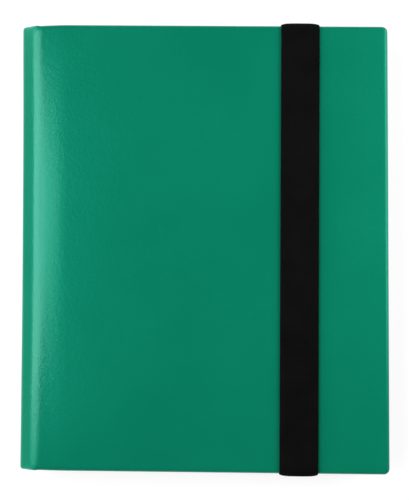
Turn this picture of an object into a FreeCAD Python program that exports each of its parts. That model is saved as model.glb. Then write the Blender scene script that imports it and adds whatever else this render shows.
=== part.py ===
import FreeCAD
import Part
import Sketcher
import math
import os

# A stamp album: padded leatherette covers, a soft rounded spine, card leaves that turn on linen
# guards, and an elastic strap round the front. It lies on its back cover. X runs from the spine
# to the fore-edge, Y from the foot to the head and Z up through the front cover, and the origin
# is the middle of the back cover's outer face.

SIZES = {
    # Outside of the closed album
    "cover_width": 188.0,  # spine to fore-edge
    "cover_height": 228.0,  # foot to head
    "fold_radius": 10.0,  # outside of the leatherette where it turns into the spine
    "corner_radius": 3.0,  # fore-edge corners, seen from the front
    "edge_radius": 1.5,  # rim of a cover's outer face
    "rim_radius": 0.8,  # rim of a cover's inner face
    # Layers of a cover
    "skin_thick": 0.7,  # leatherette
    "board_thick": 2.0,
    "endpaper_thick": 0.5,
    "turn_in": 12.0,  # leatherette folded over onto the inside
    "fit_gap": 0.1,  # round a layer that lies inside another
    # Elastic strap
    "strap_width": 20.0,
    "strap_thick": 1.4,
    "strap_place": 142.0,  # from the spine to the middle of the strap
    "strap_gap": 0.3,  # between the strap and the cover's edges and front
    "flush_gap": 0.1,  # above and below a strap end that is sunk in the back
    "slot_inset": 16.0,  # from the cover's edge to the slot for a strap end
    "slot_gap": 0.2,  # round the strap in its recess and slot
    "tail_length": 24.0,  # glued end of the strap inside the back board
    "tail_bend": 0.4,  # inside of the strap's turn round the back edge
    # Spine and binding
    "spine_board_thick": 1.5,
    "stub_depth": 7.0,  # binding stubs, from the spine towards the leaves
    "band_radius": 0.8,  # head and tail bands
    # Leaves
    "leaf_count": 8,
    "leaf_pitch": 1.7,  # from one leaf to the next in the closed album
    "block_gap": 0.2,  # between the leaves and each cover
    "leaf_square": 4.5,  # leaf set in from the cover at head and foot
    "fore_square": 5.0,  # leaf set in from the cover at the fore-edge
    "leaf_corner": 3.0,
    "card_thick": 0.6,
    "guard_thick": 0.3,  # linen
    "guard_gap": 0.05,  # between a guard's fixed tab and its turning half
    "guard_flex": 8.0,  # free linen from the turning line to the card
    "guard_lap": 6.0,  # linen laid between the plies of the card
    "strip_count": 7,
    "strip_margin": 3.0,  # card left bare at head and foot
    "strip_side": 5.0,  # card left bare at each end of a strip
    "strip_space": 3.5,  # from one strip's open edge to the next strip
    "strip_seam": 1.5,  # foot of a strip that is stuck to the card
    "pocket_gap": 0.1,  # room for a stamp between strip and card
    "film_thick": 0.15,
    "interleaf_thick": 0.12,
    "interleaf_gap": 0.12,  # between an interleaf and the strips that it covers
    "interleaf_fold": 3.0,  # edge of an interleaf that is stuck to the card
}

# Sizes that follow from the sheet. The padding is as deep as the sunk strap.
PAD_THICK = "(Sizes.strap_thick + 2 * Sizes.flush_gap)"
CORE_THICK = f"({PAD_THICK} + Sizes.board_thick)"
COVER_THICK = f"({CORE_THICK} + 2 * Sizes.skin_thick)"
BOARD_TOP = f"(Sizes.skin_thick + {CORE_THICK})"
BLOCK_THICK = "(Sizes.leaf_count * Sizes.leaf_pitch)"
BLOCK_FOOT = f"({COVER_THICK} + Sizes.block_gap)"
ALBUM_THICK = f"(2 * {BLOCK_FOOT} + {BLOCK_THICK})"
SPINE_FLAT = f"({ALBUM_THICK} - 2 * Sizes.fold_radius)"
HALF_HEIGHT = "(Sizes.cover_height / 2)"
SPINE_X = "(-Sizes.cover_width / 2)"
FOLD_X = f"({SPINE_X} + Sizes.fold_radius)"
PANEL_LENGTH = "(Sizes.cover_width - Sizes.fold_radius)"
LEAF_HEIGHT = "(Sizes.cover_height - 2 * Sizes.leaf_square)"
STRAP_X = f"({SPINE_X} + Sizes.strap_place)"
STRAP_ON_PANEL = "(Sizes.strap_place - Sizes.fold_radius)"
STRAP_HALF = "(Sizes.strap_width / 2 + Sizes.slot_gap)"
SLOT_OUT = f"({HALF_HEIGHT} - Sizes.slot_inset)"
SLOT_IN = f"({SLOT_OUT} - Sizes.strap_thick)"
STUB_X = f"({SPINE_X} + 2 * Sizes.skin_thick + Sizes.spine_board_thick)"
TURN_X = f"({STUB_X} + Sizes.stub_depth + Sizes.guard_gap + Sizes.guard_thick / 2)"
LEAF_END = f"(Sizes.cover_width / 2 - Sizes.fore_square - {TURN_X})"
STRIP_TOP = "(Sizes.card_thick / 2 + Sizes.pocket_gap + Sizes.film_thick)"
STRIP_PITCH = f"(({LEAF_HEIGHT} - 2 * Sizes.strip_margin) / Sizes.strip_count)"

NEAR = 1e-4  # points closer than this are one

doc = FreeCAD.newDocument("StampAlbum")
sheet = doc.addObject("Spreadsheet::Sheet", "Sizes")
for row, (name, number) in enumerate(SIZES.items(), start=1):
    sheet.set(f"A{row}", name)
    sheet.set(f"B{row}", str(number))
    sheet.setAlias(f"B{row}", name)
doc.recompute()
parts = []


def value(expression):
    return float(sheet.evalExpression(expression))


def place(part, x="0", y="0", z="0", turned=False):
    """Bind a part's place to the sheet; a turned part has its Y and Z reversed."""
    if turned:
        half_turn = FreeCAD.Rotation(FreeCAD.Vector(1, 0, 0), 180)
        part.Placement = FreeCAD.Placement(FreeCAD.Vector(), half_turn)
    for axis, expression in zip("xyz", (x, y, z)):
        part.setExpression(f"Placement.Base.{axis}", expression)


def new_body(label):
    body = doc.addObject("PartDesign::Body", label)
    body.Label = label
    parts.append(body)
    return body


def origin_feature(body, role):
    return next(feature for feature in body.Origin.OriginFeatures if feature.Role == role)


def new_sketch(body, plane, lift="0"):
    sketch = body.newObject("Sketcher::SketchObject", f"{body.Name}_sketch")
    sketch.AttachmentSupport = [(origin_feature(body, plane), "")]
    sketch.MapMode = "FlatFace"
    sketch.setExpression("AttachmentOffset.Base.z", lift)
    return sketch


def pin(sketch, geometry, vertex, axis, expression):
    """Hold one coordinate of a sketch point at a distance from the sketch's origin."""
    distance = value(expression)
    if abs(distance) < NEAR:
        axis_line = {"X": -2, "Y": -1}[axis]
        sketch.addConstraint(Sketcher.Constraint("PointOnObject", geometry, vertex, axis_line))
        return
    ends = (-1, 1, geometry, vertex)
    if distance < 0:
        ends = (geometry, vertex, -1, 1)
        expression = f"-{expression}"
    number = sketch.addConstraint(Sketcher.Constraint(f"Distance{axis}", *ends, abs(distance)))
    name = f"place_{axis}_{geometry}"
    sketch.renameConstraint(number, name)
    sketch.setExpression(f"Constraints.{name}", expression)


def outline(sketch, corners):
    """Draw a closed outline of straight lines through corners given as pairs of expressions."""
    first = sketch.GeometryCount
    points = [FreeCAD.Vector(value(x), value(y), 0) for x, y in corners]
    following = points[1:] + points[:1]
    sketch.addGeometry([Part.LineSegment(*ends) for ends in zip(points, following)], False)
    count = len(corners)
    joints = [(first + step, 2, first + (step + 1) % count, 1) for step in range(count)]
    sketch.addConstraint([Sketcher.Constraint("Coincident", *ends) for ends in joints])
    for step, (x, y) in enumerate(corners):
        pin(sketch, first + step, 1, "X", x)
        pin(sketch, first + step, 1, "Y", y)


def rectangle(sketch, left, right, bottom, top):
    outline(sketch, [(left, bottom), (right, bottom), (right, top), (left, top)])


def pad(body, sketch, length, both_ways=False):
    feature = body.newObject("PartDesign::Pad", f"{body.Name}_pad")
    feature.Profile = sketch
    feature.setExpression("Length", length)
    feature.Midplane = both_ways
    body.Tip = feature
    doc.recompute()
    return feature


def pocket(body, sketch, depth):
    """Cut from the sketch upwards, and make sure that something was cut."""
    before = body.Shape.Volume
    feature = body.newObject("PartDesign::Pocket", f"{body.Name}_pocket")
    feature.Profile = sketch
    feature.setExpression("Length", depth)
    feature.Reversed = True
    body.Tip = feature
    doc.recompute()
    if body.Shape.Volume > before - NEAR:
        raise RuntimeError(f"{body.Label}: a pocket cuts nothing")


def round_edges(body, radius, wanted):
    """Fillet the edges whose bounding box, in the body's own frame, is wanted."""
    base = body.Tip
    names = [
        f"Edge{number}"
        for number, edge in enumerate(base.Shape.Edges, start=1)
        if wanted(edge.BoundBox)
    ]
    feature = body.newObject("PartDesign::Fillet", f"{body.Name}_fillet")
    feature.Base = (base, names)
    feature.setExpression("Radius", radius)
    body.Tip = feature
    doc.recompute()


def repeat(body, feature, axis, length, count):
    body.AllowCompound = True
    pattern = body.newObject("PartDesign::LinearPattern", f"{body.Name}_pattern")
    pattern.Originals = [feature]
    pattern.Direction = (origin_feature(body, axis), [""])
    pattern.setExpression("Length", length)
    pattern.setExpression("Occurrences", count)
    body.Tip = pattern
    doc.recompute()


def near(first, second):
    return abs(first - second) < NEAR


def block(label, size, x, y, z):
    box = doc.addObject("Part::Box", label)
    box.Label = label
    for side, expression in zip(("Length", "Width", "Height"), size):
        box.setExpression(side, expression)
    place(box, x, y, z)
    parts.append(box)


def upright_at(x):
    """Pick the upright edges that stand at one distance along X."""
    return lambda box: near(box.XMin, x) and near(box.XMax, x) and box.YLength < NEAR


def cover_place(body, side):
    if side == "front":
        place(body, x=FOLD_X, z=ALBUM_THICK, turned=True)
    else:
        place(body, x=FOLD_X)


def strap_windows(sketch, inner, outer, half_width):
    """Draw a rectangle at the head and one at the foot, across the strap's place on a panel."""
    left = f"({STRAP_ON_PANEL} - {half_width})"
    right = f"({STRAP_ON_PANEL} + {half_width})"
    rectangle(sketch, left, right, inner, outer)
    rectangle(sketch, left, right, f"(-{outer})", f"(-{inner})")


def cover_skin(side):
    """Leatherette round one cover: outer sheet, three edges and turn-ins, open at the fold."""
    body = new_body(f"{side}_cover_skin")
    sheet_end = value(PANEL_LENGTH)
    inside = value(COVER_THICK)
    whole = new_sketch(body, "XY_Plane")
    rectangle(whole, "0", PANEL_LENGTH, f"(-{HALF_HEIGHT})", HALF_HEIGHT)
    pad(body, whole, COVER_THICK)

    core = new_sketch(body, "XY_Plane", "Sizes.skin_thick")
    core_end = f"({PANEL_LENGTH} - Sizes.skin_thick)"
    core_side = f"({HALF_HEIGHT} - Sizes.skin_thick)"
    rectangle(core, "0", core_end, f"(-{core_side})", core_side)
    pocket(body, core, CORE_THICK)
    round_edges(body, "(Sizes.corner_radius - Sizes.skin_thick)", upright_at(value(core_end)))
    round_edges(body, "Sizes.corner_radius", upright_at(sheet_end))
    round_edges(body, "Sizes.edge_radius", lambda box: near(box.ZMax, 0) and box.XMax > NEAR)
    round_edges(
        body, "Sizes.rim_radius", lambda box: near(box.ZMin, inside) and box.XMax > NEAR
    )

    window = new_sketch(body, "XY_Plane", BOARD_TOP)
    window_side = f"({HALF_HEIGHT} - Sizes.turn_in)"
    window_end = f"({PANEL_LENGTH} - Sizes.turn_in)"
    rectangle(window, "0", window_end, f"(-{window_side})", window_side)
    pocket(body, window, "Sizes.skin_thick")

    if side == "back":
        strap_seats(body)
    cover_place(body, side)


def strap_seats(body):
    """Sink a lined recess and a slot for each strap end into the back cover's leatherette."""
    edge_middle = f"({HALF_HEIGHT} - Sizes.skin_thick / 2)"
    lining = new_sketch(body, "XY_Plane", "Sizes.skin_thick")
    lining_in = f"({SLOT_IN} - Sizes.slot_gap - Sizes.skin_thick)"
    strap_windows(lining, lining_in, edge_middle, f"({STRAP_HALF} + Sizes.skin_thick)")
    pad(body, lining, PAD_THICK)

    recess = new_sketch(body, "XY_Plane")
    strap_windows(recess, f"({SLOT_IN} - Sizes.slot_gap)", HALF_HEIGHT, STRAP_HALF)
    pocket(body, recess, PAD_THICK)

    slot = new_sketch(body, "XY_Plane")
    slot_ends = (f"({SLOT_IN} - Sizes.slot_gap)", f"({SLOT_OUT} + Sizes.slot_gap)")
    strap_windows(slot, *slot_ends, STRAP_HALF)
    pocket(body, slot, f"({PAD_THICK} + Sizes.skin_thick)")


def cover_layer(side, name, bottom, thick, end_gap, corner=None):
    """Lay one flat layer inside a cover, set in by end_gap from three of the cover's edges."""
    body = new_body(f"{side}_{name}")
    layer = new_sketch(body, "XY_Plane", bottom)
    layer_end = f"({PANEL_LENGTH} - {end_gap})"
    layer_side = f"({HALF_HEIGHT} - {end_gap})"
    rectangle(layer, "0", layer_end, f"(-{layer_side})", layer_side)
    pad(body, layer, thick)
    if corner:
        round_edges(body, corner, upright_at(value(layer_end)))
    cover_place(body, side)
    return body


def cover_core(side):
    """Padding, board and endpaper of one cover."""
    inset = "(Sizes.skin_thick + Sizes.fit_gap)"
    corner = f"(Sizes.corner_radius - {inset})"
    padding = cover_layer(side, "padding", "Sizes.skin_thick", PAD_THICK, inset, corner)
    board_foot = f"(Sizes.skin_thick + {PAD_THICK})"
    board = cover_layer(side, "board", board_foot, "Sizes.board_thick", inset, corner)
    paper_inset = "(Sizes.turn_in + Sizes.fit_gap)"
    cover_layer(side, "endpaper", BOARD_TOP, "Sizes.endpaper_thick", paper_inset)
    if side == "front":
        return

    opening = new_sketch(padding, "XY_Plane", "Sizes.skin_thick")
    wall = "(Sizes.skin_thick + Sizes.fit_gap)"
    opening_in = f"({SLOT_IN} - Sizes.slot_gap - {wall})"
    strap_windows(opening, opening_in, HALF_HEIGHT, f"({STRAP_HALF} + {wall})")
    pocket(padding, opening, PAD_THICK)

    slot = new_sketch(board, "XY_Plane", board_foot)
    slot_ends = (f"({SLOT_IN} - Sizes.slot_gap)", f"({SLOT_OUT} + Sizes.slot_gap)")
    strap_windows(slot, *slot_ends, STRAP_HALF)
    pocket(board, slot, "Sizes.board_thick")
    bed = new_sketch(board, "XY_Plane", f"({BOARD_TOP} - Sizes.strap_thick)")
    strap_windows(bed, f"({SLOT_IN} - Sizes.tail_length - Sizes.slot_gap)", SLOT_IN, STRAP_HALF)
    pocket(board, bed, "Sizes.strap_thick")


def fold(side):
    """Leatherette that turns a quarter round from a cover into the spine."""
    body = new_body(f"{side}_fold")
    sketch = new_sketch(body, "XZ_Plane")
    inner = "(Sizes.fold_radius - Sizes.skin_thick)"
    radii = ("Sizes.fold_radius", inner)
    ends = []
    for radius in radii:
        circle = Part.Circle(FreeCAD.Vector(0, 0, 0), FreeCAD.Vector(0, 0, 1), value(radius))
        arc = Part.ArcOfCircle(circle, math.pi, 1.5 * math.pi)
        sketch.addGeometry(arc, False)
        ends.append((arc.StartPoint, arc.EndPoint))
    sketch.addGeometry([Part.LineSegment(*pair) for pair in zip(*ends)], False)
    for arc, radius in enumerate(radii):
        sketch.addConstraint(Sketcher.Constraint("Coincident", arc, 3, -1, 1))
        number = sketch.addConstraint(Sketcher.Constraint("Radius", arc, value(radius)))
        sketch.renameConstraint(number, f"radius_{arc}")
        sketch.setExpression(f"Constraints.radius_{arc}", radius)
        for end, line in ((1, 2), (2, 3)):
            sketch.addConstraint(Sketcher.Constraint("Coincident", arc, end, line, arc + 1))
        sketch.addConstraint(Sketcher.Constraint("PointOnObject", arc, 1, -1))
        sketch.addConstraint(Sketcher.Constraint("PointOnObject", arc, 2, -2))
    pad(body, sketch, "Sizes.cover_height", both_ways=True)
    if side == "front":
        place(body, x=FOLD_X, z=f"({ALBUM_THICK} - Sizes.fold_radius)", turned=True)
    else:
        place(body, x=FOLD_X, z="Sizes.fold_radius")


def spine():
    """Leatherette, board and lining of the spine, each flat between the two folds."""
    skin = new_body("spine_skin")
    sketch = new_sketch(skin, "XY_Plane")
    board_out = "Sizes.skin_thick"
    board_in = "(Sizes.skin_thick + Sizes.spine_board_thick)"
    lip_in = f"({board_in} + Sizes.skin_thick)"
    board_end = f"({HALF_HEIGHT} - Sizes.skin_thick)"
    lip_end = f"({HALF_HEIGHT} - Sizes.turn_in)"
    head = [
        (lip_in, HALF_HEIGHT),
        (lip_in, lip_end),
        (board_in, lip_end),
        (board_in, board_end),
        (board_out, board_end),
    ]
    foot = [(x, f"(-{y})") for x, y in reversed(head)]
    outline(sketch, [("0", f"(-{HALF_HEIGHT})"), ("0", HALF_HEIGHT), *head, *foot])
    pad(skin, sketch, SPINE_FLAT)
    place(skin, x=SPINE_X, z="Sizes.fold_radius")

    board_length = f"(2 * ({board_end} - Sizes.fit_gap))"
    block(
        "spine_board",
        ("Sizes.spine_board_thick", board_length, SPINE_FLAT),
        f"({SPINE_X} + {board_out})",
        f"(-{board_length} / 2)",
        "Sizes.fold_radius",
    )
    lining_length = f"(2 * ({lip_end} - Sizes.fit_gap))"
    block(
        "spine_lining",
        ("Sizes.skin_thick", lining_length, BLOCK_THICK),
        f"({SPINE_X} + {board_in})",
        f"(-{lining_length} / 2)",
        BLOCK_FOOT,
    )


def binding():
    """Stubs on the spine with the fixed tabs of the guards between them, and the end bands."""
    half_guard = "Sizes.guard_thick / 2"
    end_stub = f"(Sizes.leaf_pitch / 2 - {half_guard})"
    first_stub = f"(Sizes.leaf_pitch / 2 + {half_guard})"
    second_tab = f"(1.5 * Sizes.leaf_pitch - {half_guard})"

    stubs = new_body("binding_stubs")
    between = new_sketch(stubs, "XZ_Plane")
    rectangle(between, "0", "Sizes.stub_depth", first_stub, second_tab)
    stub = pad(stubs, between, LEAF_HEIGHT, both_ways=True)
    repeat(
        stubs, stub, "Z_Axis", "(Sizes.leaf_count - 2) * Sizes.leaf_pitch", "Sizes.leaf_count - 1"
    )
    ends = new_sketch(stubs, "XZ_Plane")
    rectangle(ends, "0", "Sizes.stub_depth", "0", end_stub)
    rectangle(ends, "0", "Sizes.stub_depth", f"({BLOCK_THICK} - {end_stub})", BLOCK_THICK)
    pad(stubs, ends, LEAF_HEIGHT, both_ways=True)
    place(stubs, x=STUB_X, z=BLOCK_FOOT)

    tabs = new_body("guard_tabs")
    sketch = new_sketch(tabs, "XZ_Plane")
    rectangle(sketch, "0", "Sizes.stub_depth", end_stub, first_stub)
    tab = pad(tabs, sketch, LEAF_HEIGHT, both_ways=True)
    repeat(tabs, tab, "Z_Axis", "(Sizes.leaf_count - 1) * Sizes.leaf_pitch", "Sizes.leaf_count")
    place(tabs, x=STUB_X, z=BLOCK_FOOT)

    band_y = f"({LEAF_HEIGHT} / 2 + Sizes.band_radius)"
    for label, y in (("head_band", band_y), ("tail_band", f"(-{band_y})")):
        band = doc.addObject("Part::Cylinder", label)
        band.Label = label
        band.setExpression("Radius", "Sizes.band_radius")
        band.setExpression("Height", BLOCK_THICK)
        place(band, f"({STUB_X} + Sizes.band_radius)", y, BLOCK_FOOT)
        parts.append(band)


def elastic_strap():
    """The strap's run across the front, with a leg down each edge to the back cover."""
    body = new_body("elastic_strap")
    sketch = new_sketch(body, "YZ_Plane")
    leg_in = f"({HALF_HEIGHT} + Sizes.strap_gap)"
    leg_out = f"({leg_in} + Sizes.strap_thick)"
    run_in = f"({ALBUM_THICK} + Sizes.strap_gap)"
    run_out = f"({run_in} + Sizes.strap_thick)"
    head = [(leg_in, run_in), (leg_in, COVER_THICK), (leg_out, COVER_THICK), (leg_out, run_out)]
    foot = [(f"(-{y})", z) for y, z in reversed(head)]
    outline(sketch, head + foot)
    pad(body, sketch, "Sizes.strap_width", both_ways=True)
    for corner_y, corner_z, radius in (
        (value(leg_out), value(run_out), "(Sizes.edge_radius + Sizes.strap_thick)"),
        (value(leg_in), value(run_in), "Sizes.edge_radius"),
    ):
        round_edges(
            body,
            radius,
            lambda box, y=corner_y, z=corner_z: near(abs(box.YMin), y)
            and near(box.YLength, 0)
            and near(box.ZMin, z),
        )
    place(body, x=STRAP_X)


def strap_tail(label, sign):
    """One end of the strap: round the back edge, along its recess, through the slot and under
    the endpaper."""
    body = new_body(label)
    sketch = new_sketch(body, "YZ_Plane")
    leg_in = f"({HALF_HEIGHT} + Sizes.strap_gap)"
    leg_out = f"({leg_in} + Sizes.strap_thick)"
    run_top = "(Sizes.flush_gap + Sizes.strap_thick)"
    end_foot = f"({BOARD_TOP} - Sizes.strap_thick)"
    tail_end = f"({SLOT_IN} - Sizes.tail_length)"
    corners = [
        (leg_out, "Sizes.flush_gap"),
        (leg_out, COVER_THICK),
        (leg_in, COVER_THICK),
        (leg_in, run_top),
        (SLOT_OUT, run_top),
        (SLOT_OUT, BOARD_TOP),
        (tail_end, BOARD_TOP),
        (tail_end, end_foot),
        (SLOT_IN, end_foot),
        (SLOT_IN, "Sizes.flush_gap"),
    ]
    outline(sketch, [(f"({sign} * {y})", z) for y, z in corners])
    pad(body, sketch, "Sizes.strap_width", both_ways=True)
    for corner_y, corner_z, radius in (
        (value(leg_out), value("Sizes.flush_gap"), "(Sizes.tail_bend + Sizes.strap_thick)"),
        (value(leg_in), value(run_top), "Sizes.tail_bend"),
    ):
        round_edges(
            body,
            radius,
            lambda box, y=corner_y, z=corner_z: near(abs(box.YMin), y)
            and near(box.YLength, 0)
            and near(box.ZMin, z)
            and near(box.ZLength, 0),
        )
    place(body, x=STRAP_X)


def leaf(number):
    """One leaf about its turning line: guard, card, film strips and interleaf."""
    height = f"({BLOCK_FOOT} + ({number} - 0.5) * Sizes.leaf_pitch)"
    half_card = "(Sizes.card_thick / 2)"
    half_guard = "(Sizes.guard_thick / 2)"
    lap_end = "(Sizes.guard_flex + Sizes.guard_lap)"

    guard = new_body(f"leaf_{number}_guard")
    linen(guard, half_guard, lap_end)
    place(guard, x=TURN_X, z=height)

    card = new_body(f"leaf_{number}_card")
    sketch = new_sketch(card, "XZ_Plane")
    upper = [
        (LEAF_END, half_card),
        ("Sizes.guard_flex", half_card),
        ("Sizes.guard_flex", half_guard),
        (lap_end, half_guard),
    ]
    lower = [(x, f"(-{z})") for x, z in reversed(upper)]
    outline(sketch, upper + lower)
    pad(card, sketch, LEAF_HEIGHT, both_ways=True)
    round_edges(card, "Sizes.leaf_corner", upright_at(value(LEAF_END)))
    place(card, x=TURN_X, z=height)

    strips(number, height, half_card)

    interleaf = new_body(f"leaf_{number}_interleaf")
    sketch = new_sketch(interleaf, "XZ_Plane")
    fold_end = "(Sizes.guard_flex + Sizes.interleaf_fold)"
    sheet_top = f"(-({STRIP_TOP} + Sizes.interleaf_gap))"
    sheet_foot = f"({sheet_top} - Sizes.interleaf_thick)"
    corners = [
        ("Sizes.guard_flex", f"(-{half_card})"),
        ("Sizes.guard_flex", sheet_foot),
        (LEAF_END, sheet_foot),
        (LEAF_END, sheet_top),
        (fold_end, sheet_top),
        (fold_end, f"(-{half_card})"),
    ]
    outline(sketch, corners)
    pad(interleaf, sketch, LEAF_HEIGHT, both_ways=True)
    place(interleaf, x=TURN_X, z=height)


def linen(body, radius, lap_end):
    """A strip of linen whose rounded edge is centred on the turning line."""
    sketch = new_sketch(body, "XZ_Plane")
    top = FreeCAD.Vector(0, value(radius), 0)
    foot = FreeCAD.Vector(0, -value(radius), 0)
    back = FreeCAD.Vector(-value(radius), 0, 0)
    reach = FreeCAD.Vector(value(lap_end), 0, 0)
    sketch.addGeometry(Part.Arc(top, back, foot), False)
    far_ends = (foot + reach, top + reach)
    edges = ((foot, far_ends[0]), far_ends, (far_ends[1], top))
    sketch.addGeometry([Part.LineSegment(*ends) for ends in edges], False)
    sketch.addConstraint(Sketcher.Constraint("Coincident", 0, 3, -1, 1))
    for ends in ((0, 2, 1, 1), (1, 2, 2, 1), (2, 2, 3, 1), (3, 2, 0, 1)):
        sketch.addConstraint(Sketcher.Constraint("Coincident", *ends))
    pin(sketch, 1, 1, "X", "0")
    pin(sketch, 1, 1, "Y", f"(-{radius})")
    pin(sketch, 2, 1, "X", lap_end)
    pin(sketch, 2, 1, "Y", f"(-{radius})")
    pin(sketch, 3, 1, "X", lap_end)
    pin(sketch, 3, 1, "Y", radius)
    sketch.addConstraint(Sketcher.Constraint("PointOnObject", 0, 1, -2))
    pad(body, sketch, LEAF_HEIGHT, both_ways=True)


def strips(number, height, half_card):
    """Clear strips on both sides of a leaf, each stuck down along its foot and open above."""
    body = new_body(f"leaf_{number}_strips")
    sketch = new_sketch(body, "YZ_Plane")
    foot_y = f"(Sizes.strip_margin - {LEAF_HEIGHT} / 2)"
    seam_y = f"({foot_y} + Sizes.strip_seam)"
    open_y = f"({foot_y} + {STRIP_PITCH} - Sizes.strip_space)"
    film_foot = f"({half_card} + Sizes.pocket_gap)"
    corners = [
        (foot_y, half_card),
        (seam_y, half_card),
        (seam_y, film_foot),
        (open_y, film_foot),
        (open_y, STRIP_TOP),
        (foot_y, STRIP_TOP),
    ]
    outline(sketch, corners)
    outline(sketch, [(y, f"(-{z})") for y, z in corners])
    length = f"({LEAF_END} - Sizes.guard_flex - 2 * Sizes.strip_side)"
    strip = pad(body, sketch, length)
    repeat(body, strip, "Y_Axis", f"(Sizes.strip_count - 1) * {STRIP_PITCH}", "Sizes.strip_count")
    place(body, x=f"({TURN_X} + Sizes.guard_flex + Sizes.strip_side)", z=height)


for cover in ("back", "front"):
    cover_skin(cover)
    cover_core(cover)
    fold(cover)
spine()
binding()
for leaf_number in range(1, int(value("Sizes.leaf_count")) + 1):
    leaf(leaf_number)
elastic_strap()
strap_tail("strap_tail_head", 1)
strap_tail("strap_tail_foot", -1)
doc.recompute()

for item in doc.Objects:
    if "Invalid" in item.State or "Error" in item.State:
        raise RuntimeError(f"{item.Label} failed: {item.State}")
for part in parts:
    if part.Shape.isNull() or not part.Shape.isValid():
        raise RuntimeError(f"{part.Label} has no valid shape")

os.makedirs("parts", exist_ok=True)
for part in parts:
    part.Shape.exportStep(f"parts/{part.Label}.step")

# Where the pieces turn: a fold's turning line leaves the middle of its leatherette as long when
# it is flat as when it is round.
bend_radius = value("Sizes.fold_radius - Sizes.skin_thick / 2")
fold_inset = value("Sizes.skin_thick / 2") + (1 - math.pi / 4) * bend_radius
print("parts", len(parts), "thickness", value(ALBUM_THICK))
print("fold lines", value(SPINE_X) + fold_inset, fold_inset, value(ALBUM_THICK) - fold_inset)
print("leaf lines", value(TURN_X), value(BLOCK_FOOT), value("Sizes.leaf_pitch"))
print("strap", value(STRAP_X), "front", value(f"{ALBUM_THICK} + Sizes.strap_gap"))
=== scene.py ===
import math
from functools import partial

import bmesh
import bpy
import numpy as np
from mathutils import Matrix, Vector


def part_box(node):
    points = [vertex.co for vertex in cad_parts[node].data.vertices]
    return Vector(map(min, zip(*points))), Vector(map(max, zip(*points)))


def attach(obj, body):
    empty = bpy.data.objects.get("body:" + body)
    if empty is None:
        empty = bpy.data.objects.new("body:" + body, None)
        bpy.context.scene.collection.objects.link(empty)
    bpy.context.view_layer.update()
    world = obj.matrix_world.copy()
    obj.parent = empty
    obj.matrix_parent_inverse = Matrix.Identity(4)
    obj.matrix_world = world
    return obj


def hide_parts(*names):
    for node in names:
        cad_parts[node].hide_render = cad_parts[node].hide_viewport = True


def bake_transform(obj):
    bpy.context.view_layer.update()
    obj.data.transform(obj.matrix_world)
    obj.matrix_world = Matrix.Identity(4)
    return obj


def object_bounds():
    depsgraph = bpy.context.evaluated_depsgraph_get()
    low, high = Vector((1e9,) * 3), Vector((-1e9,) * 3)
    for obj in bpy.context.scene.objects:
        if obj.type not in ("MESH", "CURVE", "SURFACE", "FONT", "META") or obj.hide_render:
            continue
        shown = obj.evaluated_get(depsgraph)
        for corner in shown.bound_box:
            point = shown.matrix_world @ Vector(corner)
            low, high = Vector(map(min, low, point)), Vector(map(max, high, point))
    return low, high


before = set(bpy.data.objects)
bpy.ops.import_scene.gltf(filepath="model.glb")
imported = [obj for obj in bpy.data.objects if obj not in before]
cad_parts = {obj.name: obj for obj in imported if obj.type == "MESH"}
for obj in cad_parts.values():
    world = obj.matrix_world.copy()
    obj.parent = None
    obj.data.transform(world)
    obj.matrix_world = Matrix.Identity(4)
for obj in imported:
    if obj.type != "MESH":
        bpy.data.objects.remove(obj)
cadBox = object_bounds()
mm = 0.001

# places that the pieces are set out from, read from the frame
panelLow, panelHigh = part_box("front_cover_skin")
spineLow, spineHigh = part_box("spine_skin")
strapLow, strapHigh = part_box("elastic_strap")
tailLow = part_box("strap_tail_head")[0]
foldX, foreX = panelLow.x, panelHigh.x
halfY, topZ = panelHigh.y, panelHigh.z
midZ = (spineLow.z + spineHigh.z) / 2
panelDeep = panelHigh.z - panelLow.z
spineDeep = spineHigh.x - spineLow.x
strapMid = (strapLow.x + strapHigh.x) / 2
strapWide = strapHigh.x - strapLow.x


# node helpers, for shader trees and geometry trees alike
def put(tree, kind, inputs=None, **settings):
    node = tree.nodes.new(kind)
    for name, value in settings.items():
        setattr(node, name, value)
    for name, value in (inputs or {}).items():
        if isinstance(value, bpy.types.NodeSocket):
            tree.links.new(value, node.inputs[name])
        else:
            node.inputs[name].default_value = value
    return node


def out(tree, kind, inputs=None, **settings):
    return put(tree, kind, inputs, **settings).outputs[0]


def calc(tree, operation, *values):
    return out(tree, "ShaderNodeMath", dict(enumerate(values)), operation=operation)


def summed(tree, *parts):
    # fields added up, each times its own weight
    total = 0.0
    for field, weight in parts:
        total = calc(tree, "MULTIPLY_ADD", field, weight, total)
    return total


def remap(tree, value, fromLow, fromHigh, toLow, toHigh):
    sizes = {0: value, 1: fromLow, 2: fromHigh, 3: toLow, 4: toHigh}
    return out(tree, "ShaderNodeMapRange", sizes)


def ranged(tree, field, toLow, toHigh, reach=0.2):
    # most of a noise lies within this reach of its middle
    middle = 0.5
    return remap(tree, field, middle - reach, middle + reach, toLow, toHigh)


def noise(tree, place, cell, detail=2.0):
    inputs = {"Vector": place, "Scale": 1 / cell, "Detail": detail}
    return out(tree, "ShaderNodeTexNoise", inputs)


def marked(tree, label):
    return put(tree, "ShaderNodeAttribute", attribute_name=label).outputs["Fac"]


def tinted(tree, share, first, second):
    # sockets 6 and 7 of a Mix node are its two colours
    ends = [end if isinstance(end, bpy.types.NodeSocket) else (*end, 1) for end in (first, second)]
    return put(tree, "ShaderNodeMix", {0: share, 6: ends[0], 7: ends[1]}, data_type="RGBA").outputs[2]


def bumped(tree, height, rise, under=None):
    inputs = {"Height": height, "Distance": rise, "Strength": 1.0}
    if under is not None:
        inputs["Normal"] = under
    return out(tree, "ShaderNodeBump", inputs)


def cleared(block):
    block.use_nodes = True
    block.node_tree.nodes.clear()
    return block, block.node_tree


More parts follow.
